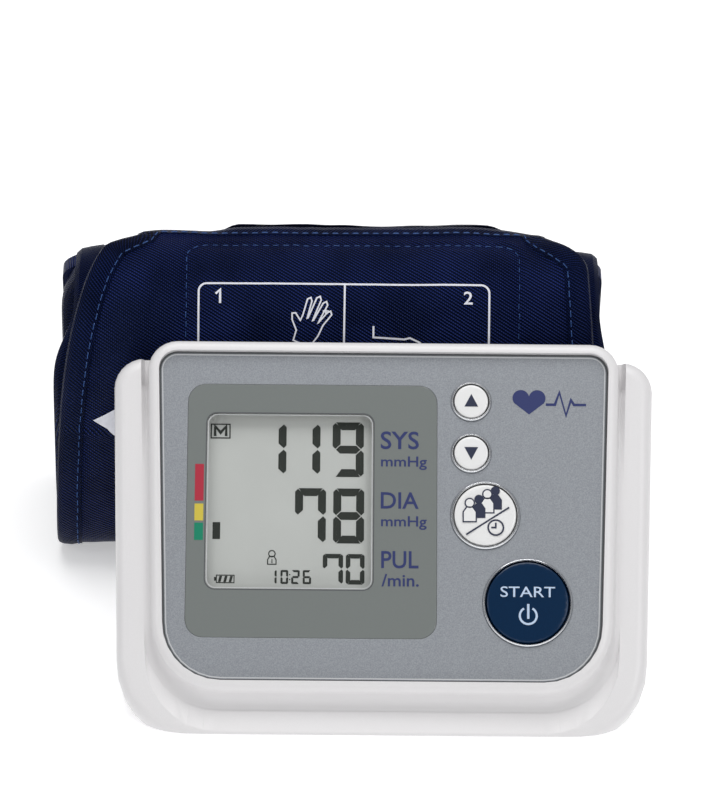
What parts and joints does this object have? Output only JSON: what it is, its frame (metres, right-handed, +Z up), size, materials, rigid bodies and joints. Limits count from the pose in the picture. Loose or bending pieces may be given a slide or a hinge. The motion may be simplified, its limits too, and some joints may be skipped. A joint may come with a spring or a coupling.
{
  "type": "upper arm blood pressure monitor",
  "caption": "Desk-top automatic blood pressure monitor with a sloping display panel, push buttons and a rolled fabric arm cuff standing behind it.",
  "frame": {"origin": "centre of the whole object's footprint box, on the table under the monitor and the rolled cuff", "axes": "+X to the right of someone reading the display, +Y to the back, +Z up"},
  "size_m": [0.159, 0.1297, 0.091],
  "materials": {
    "casing_plastic": "fine satin moulded ABS",
    "silver_fascia": "metallic silver print, satin",
    "display_print": "grey-green back-printed window border",
    "clear_window": "clear polycarbonate",
    "lcd": "grey reflective liquid crystal display",
    "inner_plastic": "moulded",
    "rubber_parts": "matt",
    "circuit_board": "solder mask",
    "black_plastic": "moulded",
    "trim_metal": "bright plated trim",
    "white_buttons": "smooth moulded",
    "start_cap": "glossy dark blue",
    "steel": "plain",
    "tube_rubber": "smooth silicone",
    "socket_plastic": "moulded",
    "battery_jacket": "printed film",
    "cuff_nylon": "shiny twill nylon",
    "hook_and_loop": "hook and loop tape",
    "cuff_binding": "woven nylon tape"
  },
  "bodies": {
    "monitor": {"front_shell": "casing_plastic", "base_shell": "casing_plastic", "fascia_panel": "silver_fascia", "display_bezel": "display_print", "display_window": "clear_window", "lcd_glass": "lcd", "lcd_holder": "inner_plastic", "lcd_connector_strip": "rubber_parts", "main_circuit_board": "circuit_board", "microcontroller": "black_plastic", "pressure_sensor": "black_plastic", "buzzer": "black_plastic", "keypad_mat": "rubber_parts", "small_button_rings": "trim_metal", "user_button_ring": "trim_metal", "start_button_ring": "trim_metal", "pump_motor_can": "steel", "pump_head": "black_plastic", "pump_cradle": "rubber_parts", "valve_body": "black_plastic", "air_tube": "tube_rubber", "air_socket": "socket_plastic", "dc_jack": "black_plastic", "dc_jack_pin": "steel", "battery_cells": "battery_jacket", "battery_springs": "steel", "battery_contact_plates": "steel", "rubber_feet": "rubber_parts", "case_screws": "steel", "board_screws": "steel"},
    "up_button": {"up_button": "white_buttons"},
    "down_button": {"down_button": "white_buttons"},
    "user_button": {"user_button": "white_buttons"},
    "start_button": {"start_button": "start_cap"},
    "pump_rotor": {"pump_rotor": "steel"},
    "valve_plunger": {"valve_plunger": "steel"},
    "battery_cover": {"battery_cover": "casing_plastic"},
    "cuff": {"cuff_outer_wrap": "cuff_nylon", "cuff_inner_wrap": "cuff_nylon", "cuff_bladder": "tube_rubber", "cuff_hose_port": "black_plastic", "cuff_loop_patch": "hook_and_loop", "cuff_edge_binding": "cuff_binding"},
    "cuff_flap": {"cuff_flap": "cuff_nylon", "flap_hook_patch": "hook_and_loop", "flap_edge_binding": "cuff_binding"}
  },
  "joints": [
    {"name": "up_button_press", "type": "slide", "parent": "monitor", "child": "up_button", "axis": [0, 0.7071, -0.7071], "range_m": [0, 0.0007], "stiffness_N_per_m": 900, "springref_m": -0.0003},
    {"name": "down_button_press", "type": "slide", "parent": "monitor", "child": "down_button", "axis": [0, 0.7071, -0.7071], "range_m": [0, 0.0007], "stiffness_N_per_m": 900, "springref_m": -0.0003},
    {"name": "user_button_press", "type": "slide", "parent": "monitor", "child": "user_button", "axis": [0, 0.7071, -0.7071], "range_m": [0, 0.0007], "stiffness_N_per_m": 1000, "springref_m": -0.0003},
    {"name": "start_button_press", "type": "slide", "parent": "monitor", "child": "start_button", "axis": [0, 0.7071, -0.7071], "range_m": [0, 0.0007], "stiffness_N_per_m": 1200, "springref_m": -0.0003},
    {"name": "pump_rotor_spin", "type": "hinge", "parent": "monitor", "child": "pump_rotor", "pos_m": [0.0205, -0.00333, 0.0305], "axis": [1, 0, 0], "continuous": true},
    {"name": "valve_plunger_stroke", "type": "slide", "parent": "monitor", "child": "valve_plunger", "axis": [-1, 0, 0], "range_m": [0, 0.001], "stiffness_N_per_m": 200, "springref_m": -0.0005},
    {"name": "battery_cover_slide", "type": "slide", "parent": "monitor", "child": "battery_cover", "axis": [0, 1, 0], "range_m": [0, 0.009]},
    {"name": "cuff_lift", "type": "slide", "parent": "monitor", "child": "cuff", "axis": [0, 0.1045, 0.9945], "range_m": [0, 0.06]},
    {"name": "cuff_flap_peel", "type": "hinge", "parent": "cuff", "child": "cuff_flap", "pos_m": [0.0085, 0.01629, 0.07565], "axis": [1, 0, 0], "range_deg": [0, 75]}
  ]
}
